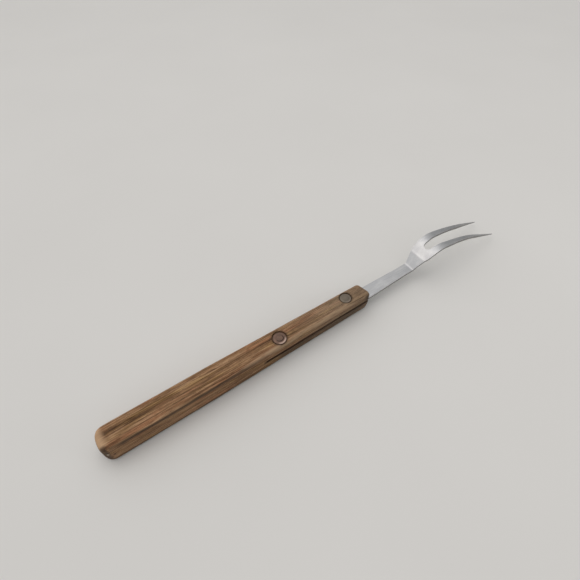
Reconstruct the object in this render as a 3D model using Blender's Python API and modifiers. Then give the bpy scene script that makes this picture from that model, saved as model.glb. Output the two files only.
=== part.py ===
"""Two-tine serving fork: a stamped steel fork riveted into the saw cut of a wood handle.

Units are metres and +Z is up. The fork lies flat, tines towards +X with their backs up, and the
origin is at the bottom centre of its bounding box, on the surface that the handle rests on.
"""

import math

import bmesh
import bpy
from mathutils import Matrix, Vector

# Overall
BUTT_X = -0.1945  # rear end of the handle; the tips end as far in front of the origin
GAP = 0.0003  # clearance between touching pieces

# Handle
HANDLE_LENGTH = 0.2278
HANDLE_THICKNESS = 0.0190
BUTT_WIDTH = 0.0192
SHOULDER_WIDTH = 0.0188  # where the taper starts
SHOULDER_FROM_BUTT = 0.0850
FRONT_WIDTH = 0.0146
BUTT_CORNER_RADIUS = 0.0063
SHOULDER_RADIUS = 0.2000  # the sides turn softly into the taper
FRONT_CORNER_RADIUS = 0.0028
FRONT_SKEW = 0.0011  # the front end is sawn a little out of square, longer on the -Y side
EDGE_RADIUS = 0.0025

# Saw cut for the tang, at half the handle's thickness
SHEET_THICKNESS = 0.0020
SLOT_HEIGHT = SHEET_THICKNESS + 2 * GAP
SLOT_BEHIND_DATUM = 0.0180  # the datum is the fork's, below

# Rivets: two cutler's rivets, each a male half from above and a female half from below
REAR_RIVET_FROM_BUTT = 0.1421
FRONT_RIVET_FROM_BUTT = 0.2085
REAR_RIVET_Y = -0.0010  # the rivet holes are drilled a little off the centre line
FRONT_RIVET_Y = 0.0006
REAR_HEAD_RADIUS = 0.0056
FRONT_HEAD_RADIUS = 0.0049
RIVET_HEAD_RIM = 0.0009  # height of the head's straight rim
RIVET_DOME = 0.0005  # rise of the head above its rim
RIVET_SINK = 0.0002  # how far the dome stays below the wood
RECESS_MARGIN = 0.0006  # how much wider each recess is than its head
BARREL_RADIUS = 0.0028
BARREL_WALL = 0.0007
SHANK_RADIUS = 0.0018
BARREL_HEIGHT = 0.0135
SHANK_LENGTH = 0.0110

# Fork, measured forward from its datum
DATUM_FROM_BUTT = 0.1430
TANG_START = -0.0150
STRAP_START = 0.0860  # just in front of the handle
FLARE_START = 0.1360
FIRST_CREASE = 0.1403
SECOND_CREASE = 0.1483
GAP_ROOT = 0.1560
GAP_ROOT_RADIUS = 0.0039
TINES_APART = 0.1760  # where the gap has opened out
TINE_TIP = 0.2460
TIP_THICKNESS_FACTOR = 0.35
TIP_TAPER_LENGTH = 0.0280

# Side profile of the fork's middle surface: (forward of the datum, height, bend radius)
SIDE_PROFILE = (
    (TANG_START, HANDLE_THICKNESS / 2, 0),
    (STRAP_START, HANDLE_THICKNESS / 2, 0.0500),
    (FIRST_CREASE, 0.0106, 0.0045),
    (SECOND_CREASE, 0.0198, 0.0080),
    (0.1627, 0.0291, 0.0260),
    (0.1983, 0.0222, 0.2000),
    (TINE_TIP, 0.0037, 0),
)

# Half outline of the fork: (forward of the datum, distance from the centre line)
OUTER_EDGE = (
    (TANG_START, 0.0061),
    (STRAP_START, 0.0060),
    (0.1130, 0.0054),
    (FLARE_START, 0.0049),
    (FIRST_CREASE, 0.0050),
    (0.1425, 0.0056),
    (SECOND_CREASE, 0.0081),
    (0.1530, 0.0096),
    (0.1580, 0.0103),
    (0.1640, 0.0106),
    (TINES_APART, 0.0107),
    (0.1880, 0.0104),
    (0.2045, 0.0102),
    (0.2245, 0.0106),
    (TINE_TIP, 0.0110),
)
INNER_EDGE = (
    (GAP_ROOT + GAP_ROOT_RADIUS, GAP_ROOT_RADIUS),
    (TINES_APART, 0.0051),
    (0.1900, 0.0058),
    (0.2070, 0.0066),
    (0.2245, 0.0086),
    (TINE_TIP, 0.0105),
)
COLUMNS = 4  # faces across half of the fork
BEND_REACH = 0.0020  # how far each sharp bend runs to either side of its corner

ROUND_STEPS = 32

# Colours: (red, green, blue), roughness, metallic
WOOD = ((0.20, 0.115, 0.06), 0.55, 0.0)
STEEL = ((0.58, 0.59, 0.60), 0.32, 1.0)
COPPER = ((0.42, 0.27, 0.22), 0.42, 1.0)

DATUM_X = BUTT_X + DATUM_FROM_BUTT
REAR_RIVET_X = BUTT_X + REAR_RIVET_FROM_BUTT
FRONT_RIVET_X = BUTT_X + FRONT_RIVET_FROM_BUTT
FRONT_X = BUTT_X + HANDLE_LENGTH
RIVETS = (  # name, place, head radius
    ("rear", (REAR_RIVET_X, REAR_RIVET_Y), REAR_HEAD_RADIUS),
    ("front", (FRONT_RIVET_X, FRONT_RIVET_Y), FRONT_HEAD_RADIUS),
)


def clear_scene():
    for item in list(bpy.data.objects):
        bpy.data.objects.remove(item, do_unlink=True)


def new_collection(name):
    collection = bpy.data.collections.new(name)
    bpy.context.scene.collection.children.link(collection)
    return collection


def new_material(name, look):
    colour, roughness, metallic = look
    material = bpy.data.materials.new(name)
    material.use_nodes = True
    shader = material.node_tree.nodes["Principled BSDF"]
    shader.inputs["Base Color"].default_value = (*colour, 1.0)
    shader.inputs["Roughness"].default_value = roughness
    shader.inputs["Metallic"].default_value = metallic
    material.diffuse_color = (*colour, 1.0)
    return material


def new_object(name, bm, collection, material=None):
    mesh = bpy.data.meshes.new(name)
    bm.to_mesh(mesh)
    bm.free()
    piece = bpy.data.objects.new(name, mesh)
    collection.objects.link(piece)
    if material:
        mesh.materials.append(material)
    return piece


def rounded_path(corners, closed, arc_steps=6):
    """2D points along straight runs whose corners (x, y, radius) are rounded into arcs."""
    count = len(corners)
    points = []
    for index, (x, y, radius) in enumerate(corners):
        corner = Vector((x, y))
        is_end = not closed and index in (0, count - 1)
        if radius == 0 or is_end:
            points.append(corner)
            continue
        before = (Vector(corners[index - 1][:2]) - corner).normalized()
        after = (Vector(corners[(index + 1) % count][:2]) - corner).normalized()
        half = before.angle(after) / 2
        middle = corner + (before + after).normalized() * radius / math.sin(half)
        first = corner + before * radius / math.tan(half) - middle
        turn = math.pi - 2 * half
        side = math.copysign(1, before.x * after.y - before.y * after.x)
        for step in range(arc_steps + 1):
            angle = side * -turn * step / arc_steps
            spin = Matrix.Rotation(angle, 2)
            points.append(middle + spin @ first)
    return points


def smooth_value(points, x):
    """Height at x of a smooth curve through points (x, value) that doesn't overshoot them."""
    if x <= points[0][0]:
        return points[0][1]
    if x >= points[-1][0]:
        return points[-1][1]
    slopes = [(b[1] - a[1]) / (b[0] - a[0]) for a, b in zip(points, points[1:])]
    tangents = [slopes[0]]
    for left, right in zip(slopes, slopes[1:]):
        tangents.append(2 * left * right / (left + right) if left * right > 0 else 0)
    tangents.append(slopes[-1])
    index = max(i for i, point in enumerate(points) if point[0] <= x)
    (x0, y0), (x1, y1) = points[index], points[index + 1]
    width = x1 - x0
    t = (x - x0) / width
    return (
        y0 * (1 + 2 * t) * (1 - t) ** 2
        + y1 * t * t * (3 - 2 * t)
        + tangents[index] * width * t * (1 - t) ** 2
        - tangents[index + 1] * width * t * t * (1 - t)
    )


def path_height(path, x):
    """Height at x of a polyline that runs towards +X."""
    for start, end in zip(path, path[1:]):
        if x <= end.x:
            share = (x - start.x) / (end.x - start.x)
            return start.y + share * (end.y - start.y)
    return path[-1].y


def add_boolean(piece, cutter):
    modifier = piece.modifiers.new("cut_" + cutter.name, "BOOLEAN")
    modifier.operation = "DIFFERENCE"
    modifier.solver = "EXACT"
    modifier.object = cutter


def as_cutter(piece):
    piece.hide_render = True
    piece.display_type = "WIRE"
    return piece


def box_cutter(name, low, high, cutters):
    bm = bmesh.new()
    bmesh.ops.create_cube(bm, size=1)
    size = Vector(high) - Vector(low)
    middle = (Vector(high) + Vector(low)) / 2
    bmesh.ops.scale(bm, vec=size, verts=bm.verts)
    bmesh.ops.translate(bm, vec=middle, verts=bm.verts)
    return as_cutter(new_object(name, bm, cutters))


def cylinder_cutter(name, place, radius, bottom, top, cutters):
    bm = bmesh.new()
    bmesh.ops.create_cone(
        bm,
        cap_ends=True,
        segments=ROUND_STEPS,
        radius1=radius,
        radius2=radius,
        depth=top - bottom,
        matrix=Matrix.Translation((*place, (top + bottom) / 2)),
    )
    return as_cutter(new_object(name, bm, cutters))


def turned_piece(name, profile, place, collection, material):
    """A solid turned about the upright line at place; profile is (radius, height), down its outside."""
    bm = bmesh.new()
    verts = [bm.verts.new((radius, 0, height)) for radius, height in profile]
    for start, end in zip(verts, verts[1:]):
        bm.edges.new((start, end))
    piece = new_object(name, bm, collection, material)
    piece.location = (*place, 0)
    screw = piece.modifiers.new("turn", "SCREW")
    screw.axis = "Z"
    screw.steps = ROUND_STEPS
    screw.render_steps = ROUND_STEPS
    screw.use_merge_vertices = True
    screw.merge_threshold = 0.00001
    screw.use_smooth_shade = True
    return piece


def head_profile(head_radius, seat, face, steps=4):
    """Rivet head from the middle of its dome to its seat, as (radius, height)."""
    up = math.copysign(1, face - seat)
    rim = seat + up * RIVET_HEAD_RIM
    profile = []
    for step in range(steps + 1):
        radius = head_radius * step / steps
        drop = RIVET_DOME * (step / steps) ** 2
        profile.append((radius, rim + up * (RIVET_DOME - drop)))
    profile.append((head_radius, seat))
    return profile


def make_handle(parts, cutters):
    half_shoulder = SHOULDER_WIDTH / 2
    half_butt = BUTT_WIDTH / 2
    half_front = FRONT_WIDTH / 2
    shoulder_x = BUTT_X + SHOULDER_FROM_BUTT
    corners = (
        (BUTT_X, -half_butt, BUTT_CORNER_RADIUS),
        (shoulder_x, -half_shoulder, SHOULDER_RADIUS),
        (FRONT_X + FRONT_SKEW, -half_front, FRONT_CORNER_RADIUS),
        (FRONT_X - FRONT_SKEW, half_front, FRONT_CORNER_RADIUS),
        (shoulder_x, half_shoulder, SHOULDER_RADIUS),
        (BUTT_X, half_butt, BUTT_CORNER_RADIUS),
    )
    bm = bmesh.new()
    outline = [bm.verts.new((p.x, p.y, 0)) for p in rounded_path(corners, True)]
    face = bm.faces.new(outline)
    swept = bmesh.ops.extrude_face_region(bm, geom=[face])
    top = [item for item in swept["geom"] if isinstance(item, bmesh.types.BMVert)]
    bmesh.ops.translate(bm, vec=(0, 0, HANDLE_THICKNESS), verts=top)
    bmesh.ops.recalc_face_normals(bm, faces=bm.faces)
    handle = new_object("handle", bm, parts, new_material("wood", WOOD))

    bevel = handle.modifiers.new("worn_edges", "BEVEL")
    bevel.width = EDGE_RADIUS
    bevel.segments = 5
    bevel.limit_method = "ANGLE"
    bevel.angle_limit = math.radians(60)

    middle = HANDLE_THICKNESS / 2
    reach = BUTT_WIDTH
    slot = box_cutter(
        "slot_cutter",
        (DATUM_X - SLOT_BEHIND_DATUM, -reach, middle - SLOT_HEIGHT / 2),
        (FRONT_X + reach, reach, middle + SLOT_HEIGHT / 2),
        cutters,
    )
    add_boolean(handle, slot)
    recess = RIVET_HEAD_RIM + RIVET_DOME + RIVET_SINK + GAP
    below = -SHEET_THICKNESS
    above = HANDLE_THICKNESS + SHEET_THICKNESS
    for name, place, head_radius in RIVETS:
        seat_radius = head_radius + RECESS_MARGIN
        for part, radius, bottom, top in (
            ("hole", BARREL_RADIUS + GAP, below, above),
            ("top_seat", seat_radius, HANDLE_THICKNESS - recess, above),
            ("bottom_seat", seat_radius, below, recess),
        ):
            cutter_name = name + "_" + part + "_cutter"
            cutter = cylinder_cutter(cutter_name, place, radius, bottom, top, cutters)
            add_boolean(handle, cutter)
    return handle


def spaced(start, end, count):
    """count values from just after start to end."""
    return [start + (end - start) * step / count for step in range(1, count + 1)]


def fork_stations():
    """Where the fork's cross rows lie, forward of the datum: close together at its bends."""
    root_end = GAP_ROOT + GAP_ROOT_RADIUS
    stretches = (  # end of each stretch and how many rows it has
        (STRAP_START - BEND_REACH, 3),
        (STRAP_START + BEND_REACH, 2),
        (FLARE_START, 4),
        (FIRST_CREASE + BEND_REACH, 8),
        (SECOND_CREASE + BEND_REACH, 8),
        (GAP_ROOT, 5),
    )
    stations = [TANG_START]
    for end, rows in stretches:
        stations += spaced(stations[-1], end, rows)
    stations += [root_end - GAP_ROOT_RADIUS * math.cos(turn) for turn in spaced(0, math.pi / 2, 6)]
    stations += spaced(root_end, TINES_APART, 8)
    stations += spaced(TINES_APART, TINE_TIP, 22)
    return stations


def inner_edge(forward):
    """Half width of the gap between the tines, which starts with a round root."""
    to_root_end = GAP_ROOT + GAP_ROOT_RADIUS - forward
    if forward <= GAP_ROOT:
        return 0.0
    if to_root_end > 0:
        return math.sqrt(GAP_ROOT_RADIUS**2 - to_root_end**2)
    return smooth_value(INNER_EDGE, forward)


def make_fork(parts, cutters):
    profile = rounded_path(SIDE_PROFILE, False, arc_steps=8)
    bm = bmesh.new()
    layer = bm.verts.layers.deform.verify()
    rows = []
    for forward in fork_stations():
        outer = smooth_value(OUTER_EDGE, forward)
        inner = inner_edge(forward)
        height = path_height(profile, forward)
        to_tip = min((TINE_TIP - forward) / TIP_TAPER_LENGTH, 1)
        row = []
        for column in range(COLUMNS + 1):
            across = inner + (outer - inner) * column / COLUMNS
            vert = bm.verts.new((DATUM_X + forward, across, height))
            vert[layer][0] = to_tip
            row.append(vert)
        rows.append(row)
    for row, following in zip(rows, rows[1:]):
        for column in range(COLUMNS):
            bm.faces.new(
                (row[column], following[column], following[column + 1], row[column + 1])
            )
    fork = new_object("fork_blade", bm, parts, new_material("steel", STEEL))
    fork.vertex_groups.new(name="thickness")

    mirror = fork.modifiers.new("other_half", "MIRROR")
    mirror.use_axis = (False, True, False)
    mirror.use_clip = True
    mirror.merge_threshold = 0.00001

    solidify = fork.modifiers.new("sheet", "SOLIDIFY")
    solidify.thickness = SHEET_THICKNESS
    solidify.offset = 0
    solidify.use_even_offset = True
    solidify.vertex_group = "thickness"
    solidify.thickness_vertex_group = TIP_THICKNESS_FACTOR

    for name, place, _ in RIVETS:
        radius = BARREL_RADIUS + GAP
        cutter_name = name + "_tang_hole_cutter"
        hole = cylinder_cutter(cutter_name, place, radius, 0, HANDLE_THICKNESS, cutters)
        add_boolean(fork, hole)
    return fork


def make_rivet(name, place, head_radius, parts, material):
    recess = RIVET_HEAD_RIM + RIVET_DOME + RIVET_SINK
    top_seat = HANDLE_THICKNESS - recess
    bottom_seat = recess
    shank_end = top_seat - SHANK_LENGTH
    chamfer = 0.0004
    male = head_profile(head_radius, top_seat, HANDLE_THICKNESS)
    male += [
        (SHANK_RADIUS, top_seat),
        (SHANK_RADIUS, shank_end + chamfer),
        (SHANK_RADIUS - chamfer, shank_end),
        (0, shank_end),
    ]
    turned_piece(name + "_rivet_male", male, place, parts, material)

    bore = BARREL_RADIUS - BARREL_WALL
    barrel_top = bottom_seat + BARREL_HEIGHT
    bore_bottom = shank_end - GAP
    female = [
        (0, bore_bottom),
        (bore, bore_bottom),
        (bore, barrel_top),
        (BARREL_RADIUS, barrel_top),
        (BARREL_RADIUS, bottom_seat),
    ]
    female += reversed(head_profile(head_radius, bottom_seat, 0))
    turned_piece(name + "_rivet_female", female, place, parts, material)


def main():
    clear_scene()
    parts = new_collection("serving_fork")
    cutters = new_collection("cutters")
    make_handle(parts, cutters)
    make_fork(parts, cutters)
    copper = new_material("copper", COPPER)
    for name, place, head_radius in RIVETS:
        make_rivet(name, place, head_radius, parts, copper)


main()
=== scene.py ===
"""Serving fork with a riveted wood handle: the looks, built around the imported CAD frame."""

import math

import bmesh
import bpy
from mathutils import Matrix, Vector, noise


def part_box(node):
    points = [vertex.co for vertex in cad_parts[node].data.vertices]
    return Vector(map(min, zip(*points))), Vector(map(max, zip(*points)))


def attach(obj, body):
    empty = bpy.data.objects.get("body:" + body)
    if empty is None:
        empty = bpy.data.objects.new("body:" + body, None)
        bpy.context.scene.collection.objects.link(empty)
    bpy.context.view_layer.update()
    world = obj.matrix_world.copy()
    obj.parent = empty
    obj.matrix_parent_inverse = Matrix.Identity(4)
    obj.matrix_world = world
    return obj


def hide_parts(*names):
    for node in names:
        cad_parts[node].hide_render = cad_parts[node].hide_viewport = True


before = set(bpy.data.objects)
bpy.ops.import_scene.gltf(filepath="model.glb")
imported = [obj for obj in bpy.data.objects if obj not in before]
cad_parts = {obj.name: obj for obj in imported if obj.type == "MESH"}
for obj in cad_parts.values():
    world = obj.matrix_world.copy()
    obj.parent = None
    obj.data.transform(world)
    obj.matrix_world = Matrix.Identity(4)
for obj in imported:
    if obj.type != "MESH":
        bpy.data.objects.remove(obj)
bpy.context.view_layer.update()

# The frame's main places, in metres
HANDLE_LOW, HANDLE_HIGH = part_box("handle")
BUTT_X = HANDLE_LOW.x
HANDLE_TOP = HANDLE_HIGH.z
MID_Z = HANDLE_TOP / 2
REAR_LOW, REAR_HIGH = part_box("rear_rivet_male")
FRONT_LOW, FRONT_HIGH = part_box("front_rivet_male")
REAR_RIVET = (REAR_LOW + REAR_HIGH) / 2
FRONT_RIVET = (FRONT_LOW + FRONT_HIGH) / 2
REAR_HEAD = (REAR_HIGH.x - REAR_LOW.x) / 2
FRONT_HEAD = (FRONT_HIGH.x - FRONT_LOW.x) / 2
MM = 0.001
DATUM_X = BUTT_X + 143 * MM  # where the fork's own measures start

# Handle
BUTT_WIDTH = 19.2 * MM
SHOULDER_WIDTH = 18.8 * MM
SHOULDER_X = BUTT_X + 85 * MM
FRONT_WIDTH = 14.6 * MM
FRONT_X = BUTT_X + 227.8 * MM
FRONT_SKEW = 1.6 * MM  # how far each front corner is from square, one ahead and one behind
SKEW_REACH = 30 * MM
FRONT_WEAR = 3.0 * MM  # how far the front end is worn back at its foot
FRONT_WEAR_REACH = 8 * MM
SLOT_START = DATUM_X - 18 * MM
SLOT_HALF = 1.3 * MM
RECESS_MARGIN = 0.65 * MM
RECESS_DEPTH = 1.9 * MM
RIVET_HOLE_RADIUS = 3.1 * MM
CUTTER_REACH = 20 * MM  # past the front end, and to each side of the middle

LIGHT_KNOCK = Vector((BUTT_X + 3.4 * MM, -8.7 * MM, 11.7 * MM))
DARK_KNOCK = Vector((BUTT_X + 6.9 * MM, -9.4 * MM, 9.3 * MM))

# Fork, forward of the datum
SHEET = 2.0 * MM
TIP_TAPER = 28 * MM  # the sheet thins over this length to its tips
TIP_SHARE = 0.35  # of the sheet's thickness, at a tip
CORNER_BEVEL_WIDTH = 0.33 * MM
TANG_START = -15.0 * MM
STRAP_START = 86.0 * MM
FLARE_START = 136.0 * MM
FIRST_CREASE = 140.3 * MM
SECOND_CREASE = 148.3 * MM
CREASE_LIP = 150.1 * MM  # the second crease stands a little proud of the head
GAP_ROOT = 156.0 * MM
GAP_ROOT_RADIUS = 3.9 * MM
TINES_APART = 176.0 * MM  # where the gap has opened out
TINE_TIP = 246.0 * MM
SIDE_PROFILE = (
    (TANG_START, MID_Z, 0),
    (STRAP_START, MID_Z, 50.0 * MM),
    (FIRST_CREASE, 10.6 * MM, 3.2 * MM),
    (SECOND_CREASE, 19.8 * MM, 1.6 * MM),
    (CREASE_LIP, 20.75 * MM, 2.0 * MM),
    (162.6 * MM, 29.0 * MM, 25.0 * MM),
    (198.3 * MM, 22.2 * MM, 200.0 * MM),
    (TINE_TIP, 3.7 * MM, 0),
)
OUTER_EDGE = (
    (TANG_START, 6.1 * MM),
    (STRAP_START, 6.0 * MM),
    (113.0 * MM, 5.4 * MM),
    (FLARE_START, 4.9 * MM),
    (FIRST_CREASE, 5.0 * MM),
    (142.5 * MM, 5.6 * MM),
    (SECOND_CREASE, 8.1 * MM),
    (153.0 * MM, 9.6 * MM),
    (158.0 * MM, 10.3 * MM),
    (164.0 * MM, 10.6 * MM),
    (TINES_APART, 10.7 * MM),
    (188.0 * MM, 10.4 * MM),
    (204.5 * MM, 10.2 * MM),
    (224.5 * MM, 10.6 * MM),
    (TINE_TIP, 11.0 * MM),
)
INNER_EDGE = (
    (GAP_ROOT + GAP_ROOT_RADIUS, GAP_ROOT_RADIUS),
    (TINES_APART, 5.1 * MM),
    (190.0 * MM, 5.8 * MM),
    (207.0 * MM, 6.6 * MM),
    (224.5 * MM, 8.6 * MM),
    (TINE_TIP, 10.5 * MM),
)


# ---- Mesh helpers ----


def link(name, mesh, *materials):
    piece = bpy.data.objects.new(name, mesh)
    bpy.context.scene.collection.objects.link(piece)
    for material in materials:
        mesh.materials.append(material)
    return piece


def mesh_from(bm, name):
    mesh = bpy.data.meshes.new(name)
    bm.to_mesh(mesh)
    bm.free()
    return mesh


def applied(piece):
    """The piece with its modifiers made real."""
    graph = bpy.context.evaluated_depsgraph_get()
    mesh = bpy.data.meshes.new_from_object(piece.evaluated_get(graph))
    old = piece.data
    piece.modifiers.clear()
    piece.data = mesh
    bpy.data.meshes.remove(old)
    return piece


def smooth(piece, angle):
    piece.data.shade_smooth()
    piece.data.set_sharp_from_angle(angle=math.radians(angle))


def cut(piece, bm):
    """Subtracts a closed bmesh from the piece."""
    cutter = link(piece.name + "_cutter", mesh_from(bm, "cutter"))
    modifier = piece.modifiers.new("cut", "BOOLEAN")
    modifier.operation = "DIFFERENCE"
    modifier.solver = "EXACT"
    modifier.object = cutter
    applied(piece)
    bpy.data.objects.remove(cutter, do_unlink=True)


def box_shape(low, high):
    bm = bmesh.new()
    bmesh.ops.create_cube(bm, size=1)
    bmesh.ops.scale(bm, vec=Vector(high) - Vector(low), verts=bm.verts)
    bmesh.ops.translate(bm, vec=(Vector(high) + Vector(low)) / 2, verts=bm.verts)
    return bm


def cylinder_shape(x, y, radius, bottom, top, segments=96):
    bm = bmesh.new()
    bmesh.ops.create_cone(
        bm,
        cap_ends=True,
        segments=segments,
        radius1=radius,
        radius2=radius,
        depth=top - bottom,
        matrix=Matrix.Translation((x, y, (top + bottom) / 2)),
    )
    return bm


def rounded_path(corners, arc_steps):
    """2D points along an open polyline whose inner corners (x, y, radius) are rounded into arcs."""
    points = [Vector(corners[0][:2])]
    for before, (x, y, radius), after in zip(corners, corners[1:], corners[2:]):
        corner = Vector((x, y))
        back = (Vector(before[:2]) - corner).normalized()
        ahead = (Vector(after[:2]) - corner).normalized()
        half = back.angle(ahead) / 2
        middle = corner + (back + ahead).normalized() * radius / math.sin(half)
        first = corner + back * radius / math.tan(half) - middle
        turn = math.pi - 2 * half
        side = math.copysign(1, back.x * ahead.y - back.y * ahead.x)
        for step in range(arc_steps + 1):
            spin = Matrix.Rotation(-side * turn * step / arc_steps, 2)
            points.append(middle + spin @ first)
    points.append(Vector(corners[-1][:2]))
    return points


def path_height(path, x):
    for start, end in zip(path, path[1:]):
        if x <= end.x:
            return start.y + (x - start.x) / (end.x - start.x) * (end.y - start.y)
    return path[-1].y


def smooth_value(points, x):
    """Value at x of a smooth curve through points (x, value) that doesn't overshoot them."""
    if x <= points[0][0]:
        return points[0][1]
    if x >= points[-1][0]:
        return points[-1][1]
    slopes = [(b[1] - a[1]) / (b[0] - a[0]) for a, b in zip(points, points[1:])]
    tangents = [slopes[0]]
    for left, right in zip(slopes, slopes[1:]):
        tangents.append(2 * left * right / (left + right) if left * right > 0 else 0)
    tangents.append(slopes[-1])
    index = max(i for i, point in enumerate(points) if point[0] <= x)
    (x0, y0), (x1, y1) = points[index], points[index + 1]
    width = x1 - x0
    t = (x - x0) / width
    return (
        y0 * (1 + 2 * t) * (1 - t) ** 2
        + y1 * t * t * (3 - 2 * t)
        + tangents[index] * width * t * (1 - t) ** 2
        - tangents[index + 1] * width * t * t * (1 - t)
    )


def spaced(start, end, count):
    """count values from just after start to end."""
    return [start + (end - start) * step / count for step in range(1, count + 1)]


# ---- Shader helpers ----


def new_tree(name):
    material = bpy.data.materials.new(name)
    material.use_nodes = True
    tree = material.node_tree
    return material, tree, tree.nodes["Principled BSDF"]


def put(tree, kind, inputs=(), **settings):
    """A new node with its inputs set or linked; an input is named or numbered."""
    node = tree.nodes.new(kind)
    for key, value in settings.items():
        setattr(node, key, value)
    for key, value in dict(inputs).items():
        if isinstance(value, bpy.types.NodeSocket):
            tree.links.new(value, node.inputs[key])
        else:
            node.inputs[key].default_value = value
    return node


def calc(tree, operation, *values, clamp=False):
    inputs = dict(enumerate(values))
    return put(tree, "ShaderNodeMath", inputs, operation=operation, use_clamp=clamp).outputs[0]


def remap(tree, value, low, high, to_low=0.0, to_high=1.0, kind="SMOOTHSTEP"):
    inputs = {0: value, 1: low, 2: high, 3: to_low, 4: to_high}
    return put(tree, "ShaderNodeMapRange", inputs, interpolation_type=kind).outputs[0]


def mix(tree, share, first, second, blend="MIX"):
    inputs = {0: share, 6: first, 7: second}
    node = put(tree, "ShaderNodeMix", inputs, data_type="RGBA", blend_type=blend)
    return node.outputs[2]


def stretched(tree, place, scale, turn=(0, 0, 0), shift=(0, 0, 0)):
    inputs = {"Vector": place, "Scale": scale, "Rotation": turn, "Location": shift}
    return put(tree, "ShaderNodeMapping", inputs).outputs[0]


def cloud(tree, place, scale=1.0, detail=3.0, roughness=0.5, distortion=0.0):
    inputs = {
        "Vector": place,
        "Scale": scale,
        "Detail": detail,
        "Roughness": roughness,
        "Distortion": distortion,
    }
    return put(tree, "ShaderNodeTexNoise", inputs).outputs["Fac"]


def ramp(tree, value, stops):
    node = put(tree, "ShaderNodeValToRGB", {0: value})
    elements = node.color_ramp.elements
    while len(elements) < len(stops):
        elements.new(0.5)
    for element, (position, colour) in zip(elements, stops):
        element.position = position
        element.color = (*colour, 1)
    return node.outputs[0]


def bump(tree, height, strength, distance, under=None):
    inputs = {"Height": height, "Strength": strength, "Distance": distance}
    if under:
        inputs["Normal"] = under
    return put(tree, "ShaderNodeBump", inputs).outputs[0]


# ---- Materials ----

RINGS_PER_METRE = 620.0


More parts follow.
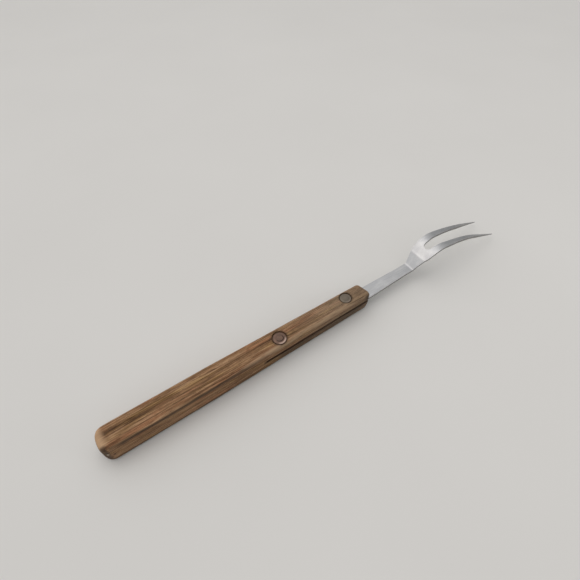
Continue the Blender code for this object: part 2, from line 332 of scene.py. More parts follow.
def wood_material():
    material, tree, shader = new_tree("oiled_wood")
    place = put(tree, "ShaderNodeTexCoord").outputs["Object"]
    split = put(tree, "ShaderNodeSeparateXYZ", {0: place})
    x, y, z = split.outputs
    # Growth rings about a pith below the handle, wandering along its length
    wander = put(
        tree,
        "ShaderNodeTexNoise",
        {"Vector": stretched(tree, place, (16, 60, 60)), "Scale": 1.0, "Detail": 2.0},
    ).outputs["Color"]
    wander = put(
        tree, "ShaderNodeVectorMath", {0: wander, 1: (0.5, 0.5, 0.5)}, operation="SUBTRACT"
    ).outputs[0]
    wander = put(
        tree, "ShaderNodeVectorMath", {0: wander, 1: (0, 0.006, 0.006)}, operation="MULTIPLY"
    ).outputs[0]
    tilted = stretched(tree, place, (0, 1, 1), shift=(0, 0.004, 0.016))
    slope = put(tree, "ShaderNodeCombineXYZ", {1: calc(tree, "MULTIPLY", x, 0.035)}).outputs[0]
    rings = put(tree, "ShaderNodeVectorMath", {0: tilted, 1: wander}, operation="ADD").outputs[0]
    rings = put(tree, "ShaderNodeVectorMath", {0: rings, 1: slope}, operation="ADD").outputs[0]
    radius = put(tree, "ShaderNodeVectorMath", {0: rings}, operation="LENGTH").outputs["Value"]
    ring = calc(tree, "FRACT", calc(tree, "MULTIPLY", radius, RINGS_PER_METRE))
    late = remap(tree, calc(tree, "PINGPONG", ring, 0.5), 0.05, 0.5)

    broad = cloud(tree, stretched(tree, place, (9, 170, 170)), detail=3.0)
    streak = cloud(tree, stretched(tree, place, (20, 1000, 1000)), detail=5.0, roughness=0.65)
    fibre = cloud(tree, stretched(tree, place, (90, 2800, 2800)), detail=4.0, roughness=0.7)
    tone = calc(tree, "MULTIPLY", late, 0.07)
    tone = calc(tree, "ADD", tone, calc(tree, "MULTIPLY", broad, 0.30))
    tone = calc(tree, "ADD", tone, calc(tree, "MULTIPLY", streak, 0.75))
    tone = calc(tree, "ADD", tone, calc(tree, "MULTIPLY", fibre, 0.53))
    colour = ramp(
        tree,
        tone,
        (
            (0.67, (0.098, 0.048, 0.021)),
            (0.77, (0.210, 0.110, 0.051)),
            (0.86, (0.310, 0.172, 0.086)),
            (0.97, (0.460, 0.282, 0.156)),
        ),
    )
    # Patches that lean red or olive
    lean = cloud(tree, stretched(tree, place, (22, 210, 210), shift=(3, 1, 2)), detail=3.0)
    red = remap(tree, lean, 0.50, 0.66)
    olive = remap(tree, lean, 0.50, 0.34)
    colour = mix(tree, calc(tree, "MULTIPLY", red, 0.28), colour, (0.62, 0.36, 0.29, 1), "OVERLAY")
    olive = calc(tree, "MULTIPLY", olive, 0.42)
    colour = mix(tree, olive, colour, (0.42, 0.42, 0.22, 1), "OVERLAY")
    # The front third has dried out greyer
    dry = remap(tree, x, REAR_RIVET.x - 0.01, FRONT_RIVET.x)
    dry = calc(tree, "MULTIPLY", dry, remap(tree, broad, 0.30, 0.70, 0.24, 0.44))
    colour = mix(tree, dry, colour, (0.34, 0.27, 0.19, 1))

    # Open pores: long dark lines along the grain, and short fine dashes between them
    line = cloud(tree, stretched(tree, place, (34, 1500, 1500), shift=(2, 8, 4)), detail=2.0)
    line = remap(tree, line, 0.585, 0.68)
    colour = mix(tree, calc(tree, "MULTIPLY", line, 0.62), colour, (0.050, 0.024, 0.012, 1))
    pore = cloud(tree, stretched(tree, place, (210, 5200, 5200), shift=(7, 3, 5)), detail=1.0)
    pore = remap(tree, pore, 0.58, 0.70)
    colour = mix(tree, calc(tree, "MULTIPLY", pore, 0.75), colour, (0.030, 0.016, 0.010, 1))

    # Wear along the convex edges and the rounded butt, and darkening: dirt low down and near the
    # front, and painted shade near the floor, round the slot and round the rivet recesses
    edge = put(tree, "ShaderNodeAttribute", attribute_name="edge").outputs["Fac"]
    rough_wear = cloud(tree, stretched(tree, place, (45, 420, 420)), detail=4.0, roughness=0.6)
    wear = calc(tree, "MULTIPLY", edge, remap(tree, rough_wear, 0.32, 0.56))
    colour = mix(tree, calc(tree, "MULTIPLY", wear, 0.80), colour, (0.46, 0.315, 0.195, 1))
    light_patch = put(tree, "ShaderNodeAttribute", attribute_name="butt").outputs["Fac"]
    light_patch = calc(tree, "MULTIPLY", light_patch, remap(tree, rough_wear, 0.20, 0.50, 0.6, 1.0))
    colour = mix(tree, calc(tree, "MULTIPLY", light_patch, 0.85), colour, (0.56, 0.36, 0.21, 1))
    # Dirt and painted shade together darken the wood here
    grime_and_shade = put(tree, "ShaderNodeAttribute", attribute_name="grime_and_shade").outputs["Fac"]
    grime_and_shade = calc(tree, "MULTIPLY", grime_and_shade, remap(tree, rough_wear, 0.30, 0.60, 0.6, 1.0))
    colour = mix(tree, calc(tree, "MULTIPLY", grime_and_shade, 0.85), colour, (0.040, 0.030, 0.022, 1))
    # Two knocks at the near rear corner: one flaked light, one filled with dirt
    for knock, size, tint in (
        (LIGHT_KNOCK, 1.0 * MM, (0.62, 0.50, 0.38, 1)),
        (DARK_KNOCK, 0.9 * MM, (0.045, 0.032, 0.020, 1)),
    ):
        inputs = {0: place, 1: knock}
        away = put(tree, "ShaderNodeVectorMath", inputs, operation="DISTANCE").outputs["Value"]
        away = calc(tree, "ADD", away, calc(tree, "MULTIPLY", rough_wear, 0.5 * MM))
        spot = remap(tree, away, 0.7 * size, 1.5 * size, 0.85, 0.0)
        colour = mix(tree, spot, colour, tint)

    tree.links.new(colour, shader.inputs["Base Color"])
    gloss = remap(tree, streak, 0.3, 0.7, 0.52, 0.68, "LINEAR")
    gloss = calc(tree, "ADD", gloss, calc(tree, "MULTIPLY", pore, 0.2))
    tree.links.new(gloss, shader.inputs["Roughness"])
    shader.inputs["Specular IOR Level"].default_value = 0.16
    raised = calc(tree, "SUBTRACT", calc(tree, "MULTIPLY", fibre, 0.5), pore)
    raised = calc(tree, "SUBTRACT", raised, calc(tree, "MULTIPLY", line, 1.5))
    lines = bump(tree, raised, 0.6, 0.00016)
    waves = bump(tree, calc(tree, "ADD", streak, late), 0.35, 0.00015, lines)
    tree.links.new(waves, shader.inputs["Normal"])
    return material


def steel_material():
    material, tree, shader = new_tree("brushed_steel")
    place = put(tree, "ShaderNodeTexCoord").outputs["Object"]
    shader.inputs["Metallic"].default_value = 1.0
    brush = cloud(tree, stretched(tree, place, (55, 4200, 4200)), detail=5.0, roughness=0.65)
    scratch = cloud(
        tree,
        stretched(tree, place, (120, 2400, 2400), turn=(0, 0, 0.16)),
        detail=3.0,
        roughness=0.7,
        distortion=0.4,
    )
    scratch = remap(tree, scratch, 0.60, 0.74)
    smudge = cloud(tree, stretched(tree, place, (60, 160, 160)), detail=4.0, roughness=0.55)
    clean = remap(tree, smudge, 0.35, 0.7)
    colour = mix(tree, clean, (0.51, 0.51, 0.515, 1), (0.63, 0.625, 0.62, 1))
    colour = mix(tree, remap(tree, brush, 0.3, 0.75, 0.0, 0.6), colour, (0.39, 0.39, 0.395, 1))
    colour = mix(tree, calc(tree, "MULTIPLY", scratch, 0.6), colour, (0.78, 0.775, 0.77, 1))
    tree.links.new(colour, shader.inputs["Base Color"])
    rough = remap(tree, brush, 0.3, 0.7, 0.26, 0.42, "LINEAR")
    rough = calc(tree, "ADD", rough, calc(tree, "MULTIPLY", smudge, 0.10))
    tree.links.new(rough, shader.inputs["Roughness"])
    height = calc(tree, "ADD", brush, calc(tree, "MULTIPLY", scratch, -0.4))
    tree.links.new(bump(tree, height, 0.35, 0.00004), shader.inputs["Normal"])
    return material


def cut_steel_material():
    material, tree, shader = new_tree("sheared_steel")
    place = put(tree, "ShaderNodeTexCoord").outputs["Object"]
    shader.inputs["Metallic"].default_value = 1.0
    drag = cloud(tree, stretched(tree, place, (900, 900, 5200)), detail=4.0, roughness=0.6)
    colour = mix(tree, drag, (0.20, 0.195, 0.19, 1), (0.40, 0.39, 0.38, 1))
    tree.links.new(colour, shader.inputs["Base Color"])
    tree.links.new(remap(tree, drag, 0.3, 0.7, 0.40, 0.62, "LINEAR"), shader.inputs["Roughness"])
    tree.links.new(bump(tree, drag, 0.5, 0.00006), shader.inputs["Normal"])
    return material


def edge_highlight_steel_material():
    """Painted highlight on the sheet's bevelled corners: a near-white colour that stands in for the
    light they catch from every side.
    """
    material, tree, shader = new_tree("edge_highlight_steel")
    place = put(tree, "ShaderNodeTexCoord").outputs["Object"]
    shader.inputs["Metallic"].default_value = 0.4
    glint_noise = cloud(tree, stretched(tree, place, (300, 1500, 1500)), detail=3.0)
    # Near-white and part metal: a painted highlight, not the steel's own colour
    colour = mix(tree, glint_noise, (0.84, 0.83, 0.82, 1), (0.97, 0.96, 0.95, 1))
    tree.links.new(colour, shader.inputs["Base Color"])
    tree.links.new(remap(tree, glint_noise, 0.3, 0.7, 0.50, 0.62, "LINEAR"), shader.inputs["Roughness"])
    tree.links.new(bump(tree, glint_noise, 0.2, 0.00003), shader.inputs["Normal"])
    return material


def rivet_material(name, centre, head, bright, dull, tarnish, tarnish_share, crescent):
    """Turned copper alloy: faint rings about the rivet's middle, thin tarnish, a rim darkened by
    dirt and painted shade, and a painted highlight crescent.
    """
    material, tree, shader = new_tree(name)
    place = put(tree, "ShaderNodeTexCoord").outputs["Object"]
    shift = (-centre.x, -centre.y, 0)
    local = stretched(tree, place, (1, 1, 0), shift=shift)
    radius = put(tree, "ShaderNodeVectorMath", {0: local}, operation="LENGTH").outputs["Value"]
    wobble = cloud(tree, stretched(tree, place, (260, 260, 260)), detail=2.0)
    shifted = calc(tree, "ADD", radius, calc(tree, "MULTIPLY", wobble, 0.0004))
    rings = cloud(
        tree,
        put(tree, "ShaderNodeCombineXYZ", {0: calc(tree, "MULTIPLY", shifted, 1900.0)}).outputs[0],
        detail=3.0,
        roughness=0.55,
    )
    patches = cloud(
        tree,
        stretched(tree, place, (260, 260, 260), shift=(5, 2, 0)),
        detail=4.0,
        roughness=0.55,
    )
    colour = mix(tree, remap(tree, rings, 0.36, 0.64), dull, bright)
    cover = remap(tree, patches, 0.38, 0.64)
    colour = mix(tree, calc(tree, "MULTIPLY", cover, tarnish_share), colour, tarnish)
    # A worn ring, fainter on its far side, and a painted highlight: a bright crescent on the near
    # side of the rim
    heading = put(tree, "ShaderNodeVectorMath", {0: local}, operation="NORMALIZE").outputs[0]
    inputs = {0: heading, 1: Vector((0.25, -0.97, 0.0))}
    nearness = put(tree, "ShaderNodeVectorMath", inputs, operation="DOT_PRODUCT").outputs["Value"]
    groove = calc(tree, "ABSOLUTE", calc(tree, "SUBTRACT", shifted, GROOVE_PLACE * head))
    groove = remap(tree, groove, 0.00020, 0.00055, 1.0, 0.0)
    groove = calc(tree, "MULTIPLY", groove, remap(tree, nearness, -0.5, 0.4, 0.25, 1.0))
    colour = mix(tree, calc(tree, "MULTIPLY", groove, crescent), colour, (0.040, 0.022, 0.016, 1))
    # Painted highlight on the near side of the dome, just inside the rim
    light_patch = calc(tree, "ABSOLUTE", calc(tree, "SUBTRACT", radius, 0.84 * head))
    light_patch = remap(tree, light_patch, 0.00035, 0.00085, 1.0, 0.0)
    light_patch = calc(tree, "MULTIPLY", light_patch, remap(tree, nearness, 0.45, 0.9))
    light_patch = calc(tree, "MULTIPLY", light_patch, crescent)
    colour = mix(tree, light_patch, colour, (0.46, 0.33, 0.27, 1))
    # Darkening at the rim: dirt settled against it, together with painted shade of the recess it
    # sits in
    rim = remap(tree, radius, 0.91 * head, head)
    rim_grime_and_shade = calc(tree, "MULTIPLY", rim, remap(tree, patches, 0.3, 0.6, 0.6, 0.95))
    colour = mix(tree, rim_grime_and_shade, colour, (0.06, 0.035, 0.025, 1))
    tree.links.new(colour, shader.inputs["Base Color"])
    metal = calc(tree, "SUBTRACT", 0.75, calc(tree, "MULTIPLY", cover, 0.45 * tarnish_share))
    tree.links.new(metal, shader.inputs["Metallic"])
    rough = remap(tree, patches, 0.3, 0.7, 0.46, 0.62, "LINEAR")
    tree.links.new(rough, shader.inputs["Roughness"])
    grooves = bump(tree, rings, 0.30, 0.00004)
    pits = bump(tree, patches, 0.25, 0.00008, grooves)
    tree.links.new(pits, shader.inputs["Normal"])
    return material


def floor_material():
    material, tree, shader = new_tree("pale_floor")
    place = put(tree, "ShaderNodeTexCoord").outputs["Object"]
    shade = cloud(tree, place, scale=6.0, detail=3.0)
    colour = mix(tree, shade, (0.715, 0.70, 0.672, 1), (0.755, 0.74, 0.712, 1))
    tree.links.new(colour, shader.inputs["Base Color"])
    shader.inputs["Roughness"].default_value = 0.85
    shader.inputs["Specular IOR Level"].default_value = 0.2
    return material


# ---- Handle ----

# A section's points between its corners, along its top or bottom and along a side, and the
# steps round each corner
TOP_POINTS, SIDE_POINTS, FILLET_STEPS = 22, 16, 7


def ease(value, low, high):
    t = min(max((value - low) / (high - low), 0), 1)
    return t * t * (3 - 2 * t)


def half_width(x):
    if x < SHOULDER_X:
        share = (x - BUTT_X) / (SHOULDER_X - BUTT_X)
        return (BUTT_WIDTH + (SHOULDER_WIDTH - BUTT_WIDTH) * share) / 2
    share = min((x - SHOULDER_X) / (FRONT_X - SHOULDER_X), 1)
    soft = share + 0.035 * math.sin(math.pi * share) * (1 - share)
    return (SHOULDER_WIDTH + (FRONT_WIDTH - SHOULDER_WIDTH) * soft) / 2


def arc_drop(distance, radius):
    """How far an arc of that radius lies inside its tangent line, at a distance from its start."""
    left = max(radius - distance, 0)
    return radius - math.sqrt(max(radius**2 - left**2, 0))


def section_points(half, tall, near_radius, far_radius, low_radius):
    """Closed section as (y, z about the middle), from the near top edge round."""
    points = []
    corners = (
        (-1, 1, near_radius, 180, 90),
        (1, 1, far_radius, 90, 0),
        (1, -1, low_radius, 0, -90),
        (-1, -1, low_radius, -90, -180),
    )
    counts = (TOP_POINTS, SIDE_POINTS, TOP_POINTS, SIDE_POINTS)
    for index, ((side, up, radius, start, end), count) in enumerate(zip(corners, counts)):
        middle = Vector((side * (half - radius), up * (tall - radius)))
        for step in range(FILLET_STEPS + 1):
            turn = math.radians(start + (end - start) * step / FILLET_STEPS)
            points.append(middle + radius * Vector((math.cos(turn), math.sin(turn))))
        side2, up2, radius2, start2, _ = corners[(index + 1) % 4]
        turn = math.radians(start2)
        goal = Vector((side2 * (half - radius2), up2 * (tall - radius2)))
        goal += radius2 * Vector((math.cos(turn), math.sin(turn)))
        begin = points[-1]
        points += [begin.lerp(goal, step / (count + 1)) for step in range(1, count + 1)]
    return points


# Radii of the ends, seen from above and from the side, and of the long edges
BUTT_CORNER, BUTT_EDGE = 6.3 * MM, 3.6 * MM
FRONT_CORNER, FRONT_EDGE = 1.9 * MM, 1.3 * MM
NEAR_ARRIS, NEAR_ARRIS_WEAR = 1.3 * MM, 1.9 * MM  # at the back, and what wear adds in front
FAR_ARRIS, LOW_ARRIS = 2.4 * MM, 2.6 * MM
BUTT_ARRIS = 3.8 * MM
MOST_ARRIS = 0.92  # share of a section's half size that a radius may take


def handle_stations():
    steps = 12
    arc = [1 - math.cos(math.pi / 2 * step / steps) for step in range(steps + 1)]
    rear = sorted({round(radius * a, 8) for radius in (BUTT_CORNER, BUTT_EDGE) for a in arc})
    front = sorted({round(radius * a, 8) for radius in (FRONT_CORNER, FRONT_EDGE) for a in arc})
    start, end = BUTT_X + rear[-1], FRONT_X - front[-1]
    stations = [BUTT_X + d for d in rear]
    stations += spaced(start, end, 210)
    stations += [FRONT_X - d for d in reversed(front[:-1])]
    return stations


def worn(point):
    """Small uneven wear, always inwards."""
    broad = noise.noise(Vector((point.x * 32, point.y * 110, point.z * 110)))
    fine = noise.noise(Vector((point.x * 90 + 5, point.y * 330, point.z * 330)))
    return 0.00010 * (broad + 1) + 0.00004 * (fine + 1)


def handle_section(x):
    behind, ahead = x - BUTT_X, FRONT_X - x
    half = half_width(x) - arc_drop(behind, BUTT_CORNER) - arc_drop(ahead, FRONT_CORNER)
    tall = MID_Z - arc_drop(behind, BUTT_EDGE) - arc_drop(ahead, FRONT_EDGE)
    forward = min(max((x - SHOULDER_X) / (REAR_RIVET.x - SHOULDER_X), 0), 1)
    near = NEAR_ARRIS + NEAR_ARRIS_WEAR * forward
    full = 1 - ease(behind, 0, 1.3 * BUTT_CORNER)
    radii = [radius + (BUTT_ARRIS - radius) * full for radius in (near, FAR_ARRIS, LOW_ARRIS)]
    return half, tall, [min(radius, half * MOST_ARRIS, tall * MOST_ARRIS) for radius in radii]


def handle_mesh():
    bm = bmesh.new()
    loops = []
    stations = handle_stations()
    for x in stations:
        half, tall, radii = handle_section(x)
        nearness = min(max((x - FRONT_X + SKEW_REACH) / SKEW_REACH, 0), 1)
        skew = FRONT_SKEW * nearness / (FRONT_WIDTH / 2)
        wear = FRONT_WEAR * ease(x, FRONT_X - FRONT_WEAR_REACH, FRONT_X)
        loop = []
        for y, z in section_points(half, tall, *radii):
            worn_back = wear * ease(-z, 1 * MM, MID_Z)
            spot = Vector((x - y * skew - worn_back, y, MID_Z + z))
            inward = Vector((0, -y, -z)).normalized()
            if z > -tall + 1e-6:
                spot += inward * worn(spot)
            loop.append(bm.verts.new(spot))
        loops.append(loop)
    count = len(loops[0])
    for first, second in zip(loops, loops[1:]):
        for i in range(count):
            j = (i + 1) % count
            bm.faces.new((first[i], first[j], second[j], second[i]))
    for loop, facing in ((loops[0], 1), (loops[-1], -1)):
        middle = sum((v.co for v in loop), Vector()) / count
        ring = loop
        for share in (0.85, 0.7, 0.55, 0.4, 0.25):
            inner = [bm.verts.new(middle.lerp(v.co, share)) for v in loop]
            for i in range(count):
                j = (i + 1) % count
                corners = (ring[i], inner[i], inner[j], ring[j])
                bm.faces.new(corners if facing > 0 else corners[::-1])
            ring = inner
        bm.faces.new(ring if facing < 0 else ring[::-1])
    bmesh.ops.recalc_face_normals(bm, faces=bm.faces)
    return mesh_from(bm, "handle_wood")


def paint_handle(mesh):
    """Stores where the wood's edges and butt are rubbed and where it is darkened, partly by dirt
    and partly by painted shade.
    """
    edge = mesh.attributes.new("edge", "FLOAT", "POINT")
    butt = mesh.attributes.new("butt", "FLOAT", "POINT")
    grime_and_shade = mesh.attributes.new("grime_and_shade", "FLOAT", "POINT")
    for index, vert in enumerate(mesh.vertices):
        co = vert.co
        half = half_width(co.x)
        behind = co.x - BUTT_X
        # The near arris is crisp at the back and rubbed into a broad light strip in front
        forward = ease(co.x, SHOULDER_X, REAR_RIVET.x - 10 * MM)
        inset = (0.35 + 0.75 * forward) * MM
        to_near = math.hypot(co.y + half - inset, co.z - HANDLE_TOP + inset)
        to_far = math.hypot(co.y - half + 0.6 * MM, co.z - HANDLE_TOP + 0.6 * MM)
        near = 1 - ease(to_near, (0.4 + 0.8 * forward) * MM, (1.2 + 1.7 * forward) * MM)
        near *= 0.22 + 0.78 * forward
        far = 0.4 * (1 - ease(to_far, 0.5 * MM, 1.2 * MM))
        edge.data[index].value = min(max(near, far), 1)
        # A light patch over the rounded end, with darkening below it and round the near corner
        patch = (1 - ease(behind, 3 * MM, 8 * MM)) * ease(co.y, -7.5 * MM, -4.5 * MM)
        butt.data[index].value = patch * ease(co.z, 13 * MM, 17 * MM)
        # Darker low down, along the handle and at the butt: painted shade near the floor together
        # with dirt
        low = 0.68 * (1 - ease(co.z, 0.5 * MM, 6.5 * MM))
        low = max(low, (1 - ease(behind, 2 * MM, 8 * MM)) * (1 - ease(co.z, 5 * MM, 9 * MM)))
        end_face = (1 - ease(behind, 0.7 * MM, 1.3 * MM)) * (1 - ease(co.z, 16 * MM, 17.6 * MM))
        low = max(low, 0.8 * end_face)
        corner = (1 - ease(behind, 3.6 * MM, 6 * MM)) * (1 - ease(co.y, -6.6 * MM, -4 * MM))
        low = max(low, 0.95 * corner)
        # A darker band on the near side just under the top edge, towards the back
        under = 0.0
        if co.y < 0 and co.z > MID_Z:
            below = HANDLE_TOP - co.z
            under = 0.95 * ease(below, 0.3 * MM, 1.0 * MM) * (1 - ease(below, 2.4 * MM, 4.2 * MM))
            under *= (1 - 0.75 * forward) * ease(behind, 8 * MM, 16 * MM)
            under *= ease(-co.y, half - 1.5 * MM, half)
        # Painted shade round the slot's mouth; on the lower jaw in front, painted shade near the
        # floor together with dirt
        slot_shade_and_dirt = 0.0
        if co.x > SLOT_START - 2 * MM:
            slot_shade_and_dirt = 0.8 * (1 - ease(abs(co.z - MID_Z), 1.4 * MM, 2.6 * MM))
            slot_shade_and_dirt = max(slot_shade_and_dirt, 0.72 * (co.z < MID_Z) * ease(co.x, SLOT_START, SLOT_START + 20 * MM))
        front = 0.25 * ease(co.x, REAR_RIVET.x + 30 * MM, FRONT_X)
        front += 0.9 * ease(co.x, FRONT_X - 6 * MM, FRONT_X) * ease(HANDLE_TOP - co.z, 0, 2.5 * MM)
        # A ring round each rivet head: painted shade of the recess, together with dirt
        rings = 0.0
        if co.z > HANDLE_TOP - 1 * MM:
            for rivet, head in ((REAR_RIVET, REAR_HEAD), (FRONT_RIVET, FRONT_HEAD)):
                away = math.hypot(co.x - rivet.x, co.y - rivet.y) - head
                rings = max(rings, 0.6 * (1 - ease(away, 0.7 * MM, 2.2 * MM)))
        grime_and_shade.data[index].value = min(max(low, under, slot_shade_and_dirt, rings, front), 1)


def make_handle(material):
    handle = link("handle_wood", handle_mesh(), material)
    slot_low = (SLOT_START, -CUTTER_REACH, MID_Z - SLOT_HALF)
    slot_high = (FRONT_X + CUTTER_REACH, CUTTER_REACH, MID_Z + SLOT_HALF)
    cut(handle, box_shape(slot_low, slot_high))
    below, top, above = -2 * MM, HANDLE_TOP, HANDLE_TOP + 2 * MM
    for rivet, head in ((REAR_RIVET, REAR_HEAD), (FRONT_RIVET, FRONT_HEAD)):
        seat = head + RECESS_MARGIN
        cut(handle, cylinder_shape(rivet.x, rivet.y, RIVET_HOLE_RADIUS, below, above))
        cut(handle, cylinder_shape(rivet.x, rivet.y, seat, top - RECESS_DEPTH, above))
        cut(handle, cylinder_shape(rivet.x, rivet.y, seat, below, RECESS_DEPTH))
    paint_handle(handle.data)
    smooth(handle, 40)
    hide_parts("handle")
    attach(handle, "root")
    return handle


# ---- Fork ----


def fork_stations():
    root_end = GAP_ROOT + GAP_ROOT_RADIUS
    turns = spaced(0, math.pi / 2, 14)
    bend_start, bend_end = FIRST_CREASE - 3 * MM, FIRST_CREASE + 3 * MM
    lip_start, lip_end = SECOND_CREASE - 1 * MM, CREASE_LIP + 1 * MM
    return (
        [TANG_START]
        + spaced(TANG_START, STRAP_START, 26)
        + spaced(STRAP_START, bend_start, 26)
        + spaced(bend_start, bend_end, 18)
        + spaced(bend_end, lip_start, 5)
        + spaced(lip_start, lip_end, 14)
        + spaced(lip_end, GAP_ROOT, 6)
        + [root_end - GAP_ROOT_RADIUS * math.cos(turn) for turn in turns]
        + spaced(root_end, TINES_APART, 20)
        + spaced(TINES_APART, TINE_TIP, 64)
    )


def inner_edge(forward):
    to_root_end = GAP_ROOT + GAP_ROOT_RADIUS - forward
    if forward <= GAP_ROOT:
        return 0.0
    if to_root_end > 0:
        return math.sqrt(GAP_ROOT_RADIUS**2 - to_root_end**2)
    return smooth_value(INNER_EDGE, forward)


def make_fork(sheet_material, cut_material, edge_highlight_material):
    profile = rounded_path(SIDE_PROFILE, 24)
    columns = 10
    bm = bmesh.new()
    layer = bm.verts.layers.deform.verify()
    rows = []
    for forward in fork_stations():
        outer = smooth_value(OUTER_EDGE, forward)
        inner = inner_edge(forward)
        height = path_height(profile, forward)
        to_tip = min((TINE_TIP - forward) / TIP_TAPER, 1)
        row = []
        for column in range(columns + 1):
            across = inner + (outer - inner) * column / columns
            vert = bm.verts.new((DATUM_X + forward, across, height))
            vert[layer][0] = to_tip
            row.append(vert)
        rows.append(row)
    for row, following in zip(rows, rows[1:]):
        for column in range(columns):
            corners = (row[column], following[column], following[column + 1], row[column + 1])
            bm.faces.new(corners)
    # Faces are material 0, the sheared rim is 1 and the corner bevels, which carry a painted
    # highlight, are 2
    materials = (sheet_material, cut_material, edge_highlight_material)
    fork = link("fork_steel", mesh_from(bm, "fork_steel"), *materials)
    fork.vertex_groups.new(name="thickness")
    mirror = fork.modifiers.new("other_half", "MIRROR")
    mirror.use_axis = (False, True, False)
    mirror.use_clip = True
    mirror.merge_threshold = 0.00001
    solidify = fork.modifiers.new("sheet", "SOLIDIFY")
    solidify.thickness = SHEET
    solidify.offset = 0
    solidify.use_even_offset = True
    solidify.vertex_group = "thickness"
    solidify.thickness_vertex_group = TIP_SHARE
    solidify.material_offset_rim = 1
    bevel = fork.modifiers.new("corner_bevel", "BEVEL")
    bevel.width = CORNER_BEVEL_WIDTH
    bevel.segments = 3
    bevel.limit_method = "ANGLE"
    bevel.angle_limit = math.radians(50)
    bevel.use_clamp_overlap = True
    # The bevels take material 2, the painted highlight along the sheet's corners
    bevel.material = 2
    applied(fork)
    for rivet in (REAR_RIVET, FRONT_RIVET):
        cut(fork, cylinder_shape(rivet.x, rivet.y, RIVET_HOLE_RADIUS, 0, HANDLE_TOP, 48))
    smooth(fork, 38)
    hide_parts("fork_blade")
    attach(fork, "root")
    return fork


# ---- Rivets ----

RIM = 0.9 * MM
DOME = 0.5 * MM
SINK = 0.2 * MM  # how far a head's crown stays below the wood
SHOULDER = 0.55 * MM
GROOVE_PLACE = 0.54  # share of the head's radius, in the shape and in the material
GROOVE_WIDTH = 0.45 * MM
SHANK_RADIUS, SHANK_LENGTH, SHANK_CHAMFER = 1.8 * MM, 11 * MM, 0.4 * MM
BORE_RADIUS, BARREL_RADIUS, BARREL_LENGTH = 2.1 * MM, 2.8 * MM, 13.5 * MM
BORE_PAST_SHANK = 0.3 * MM
STEPS_ROUND = 96


def head_profile(head, seat, up, dish):
    """The head from its middle to its seat: a shallow dome, a sunken ring and a soft shoulder."""
    profile = []
    flat = head - SHOULDER
    for step in range(29):
        radius = flat * step / 28
        drop = DOME * (radius / head) ** 2 * 0.8
        ring = dish * math.exp(-(((radius - GROOVE_PLACE * head) / GROOVE_WIDTH) ** 2))
        profile.append((radius, seat + up * (RIM + DOME - drop - ring)))
    top = profile[-1][1]
    for step in range(1, 9):
        turn = math.pi / 2 * step / 8
        drop = SHOULDER * (1 - math.cos(turn))
        profile.append((flat + SHOULDER * math.sin(turn), top - up * drop))
    profile.append((head, seat))
    return profile


def turned(name, profile, place, material, nodes):
    bm = bmesh.new()
    verts = [bm.verts.new((radius, 0, height)) for radius, height in profile]
    edges = [bm.edges.new(pair) for pair in zip(verts, verts[1:])]
    bmesh.ops.spin(
        bm,
        geom=verts + edges,
        cent=(0, 0, 0),
        axis=(0, 0, 1),
        angle=2 * math.pi,
        steps=STEPS_ROUND,
        use_merge=True,
    )
    bmesh.ops.remove_doubles(bm, verts=bm.verts, dist=0.000001)
    bmesh.ops.translate(bm, vec=(place.x, place.y, 0), verts=bm.verts)
    bmesh.ops.recalc_face_normals(bm, faces=bm.faces)
    piece = link(name, mesh_from(bm, name), material)
    smooth(piece, 45)
    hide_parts(*nodes)
    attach(piece, "root")
    return piece


def make_rivet(name, place, head, material, dish):
    recess = RIM + DOME + SINK
    top_seat, bottom_seat = HANDLE_TOP - recess, recess
    shank_end = top_seat - SHANK_LENGTH
    male = head_profile(head, top_seat, 1, dish)
    male += [
        (SHANK_RADIUS, top_seat),
        (SHANK_RADIUS, shank_end + SHANK_CHAMFER),
        (SHANK_RADIUS - SHANK_CHAMFER, shank_end),
        (0, shank_end),
    ]
    turned(name + "_rivet_top", male, place, material, [name + "_rivet_male"])
    bore_bottom = shank_end - BORE_PAST_SHANK
    barrel_top = bottom_seat + BARREL_LENGTH
    female = [
        (0, bore_bottom),
        (BORE_RADIUS, bore_bottom),
        (BORE_RADIUS, barrel_top),
        (BARREL_RADIUS, barrel_top),
        (BARREL_RADIUS, bottom_seat),
    ]
    female += reversed(head_profile(head, bottom_seat, -1, dish))
    turned(name + "_rivet_bottom", female, place, material, [name + "_rivet_female"])


# ---- Set ----

# The photo's view
CAMERA_PLACE = (-0.1420, -0.1479, 0.2840)
CAMERA_HEADING, CAMERA_PITCH, CAMERA_ROLL = -34.13, 39.5953, -0.4464  # degrees
SENSOR_WIDTH, LENS = 36.0, 25.448  # millimetres


def area_light(name, place, target, size, power, colour=(1, 1, 1)):
    data = bpy.data.lights.new(name, "AREA")
    data.shape = "RECTANGLE"
    data.size, data.size_y = size
    data.energy = power
    data.color = colour
    light = bpy.data.objects.new(name, data)
    bpy.context.scene.collection.objects.link(light)
    light.location = place
    light.rotation_euler = (Vector(target) - Vector(place)).to_track_quat("-Z", "Y").to_euler()


def make_floor():
    bm = bmesh.new()
    bmesh.ops.create_grid(bm, x_segments=40, y_segments=40, size=6)
    floor = link("floor", mesh_from(bm, "floor"), floor_material())


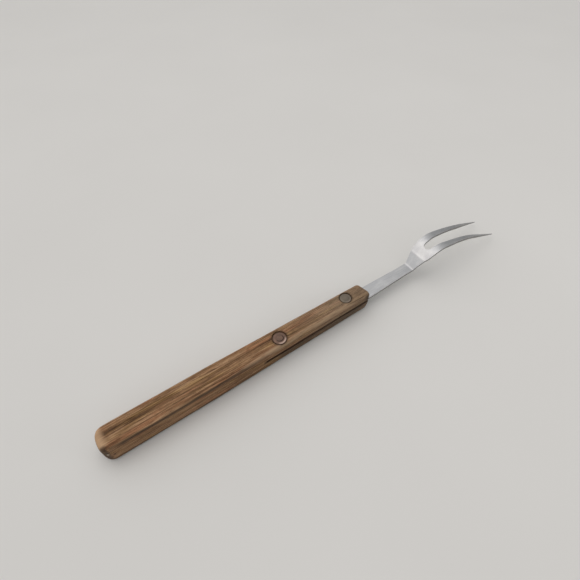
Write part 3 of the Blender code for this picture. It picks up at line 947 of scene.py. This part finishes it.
def make_world():
    """A studio sky: a broad bright cap a little behind the fork, grey towards the horizon."""
    world = bpy.data.worlds.new("studio")
    bpy.context.scene.world = world
    world.use_nodes = True
    tree = world.node_tree
    background = tree.nodes["Background"]
    place = put(tree, "ShaderNodeTexCoord").outputs["Generated"]
    cap = Vector((-0.30, 0.42, 0.85))
    inputs = {0: place, 1: cap}
    towards = put(tree, "ShaderNodeVectorMath", inputs, operation="DOT_PRODUCT").outputs["Value"]
    shade = ramp(
        tree,
        remap(tree, towards, -0.15, 1.0, kind="LINEAR"),
        (
            (0.00, (0.140, 0.140, 0.140)),
            (0.08, (0.168, 0.168, 0.168)),
            (0.30, (0.345, 0.350, 0.352)),
            (0.55, (0.410, 0.413, 0.418)),
            (0.69, (0.480, 0.484, 0.490)),
            (0.80, (0.740, 0.742, 0.746)),
            (0.86, (0.820, 0.820, 0.820)),
            (0.92, (0.720, 0.705, 0.695)),
            (1.00, (0.840, 0.805, 0.785)),
        ),
    )
    tree.links.new(shade, background.inputs["Color"])
    background.inputs["Strength"].default_value = 1.36


def make_camera():
    data = bpy.data.cameras.new("camera")
    data.sensor_width = SENSOR_WIDTH
    data.lens = LENS
    data.clip_start = 0.01
    camera = bpy.data.objects.new("camera", data)
    bpy.context.scene.collection.objects.link(camera)
    heading = Matrix.Rotation(math.radians(CAMERA_HEADING), 4, "Z")
    pitch = Matrix.Rotation(math.radians(CAMERA_PITCH), 4, "X")
    roll = Matrix.Rotation(math.radians(CAMERA_ROLL), 4, "Z")
    camera.matrix_world = Matrix.Translation(CAMERA_PLACE) @ heading @ pitch @ roll
    bpy.context.scene.camera = camera


def main():
    make_handle(wood_material())
    make_fork(steel_material(), cut_steel_material(), edge_highlight_steel_material())
    rear = rivet_material(
        "rear_rivet_copper",
        REAR_RIVET,
        REAR_HEAD,
        (0.215, 0.132, 0.096, 1),
        (0.150, 0.090, 0.064, 1),
        (0.105, 0.068, 0.048, 1),
        0.40,
        1.0,
    )
    front = rivet_material(
        "front_rivet_copper",
        FRONT_RIVET,
        FRONT_HEAD,
        (0.225, 0.185, 0.142, 1),
        (0.160, 0.132, 0.103, 1),
        (0.130, 0.110, 0.078, 1),
        0.45,
        0.20,
    )
    make_rivet("rear", REAR_RIVET, REAR_HEAD, rear, 0.05 * MM)
    make_rivet("front", FRONT_RIVET, FRONT_HEAD, front, 0.03 * MM)
    make_floor()
    make_world()
    area_light("key", (-0.02, 0.36, 1.15), (0, 0, 0), (0.9, 0.9), 1.35, (1, 0.985, 0.965))
    area_light("fill", (0.62, -0.68, 0.40), (0, 0, 0), (0.32, 0.26), 0.6, (1, 0.99, 0.98))
    make_camera()
    bpy.context.scene.view_settings.view_transform = "Standard"


main()
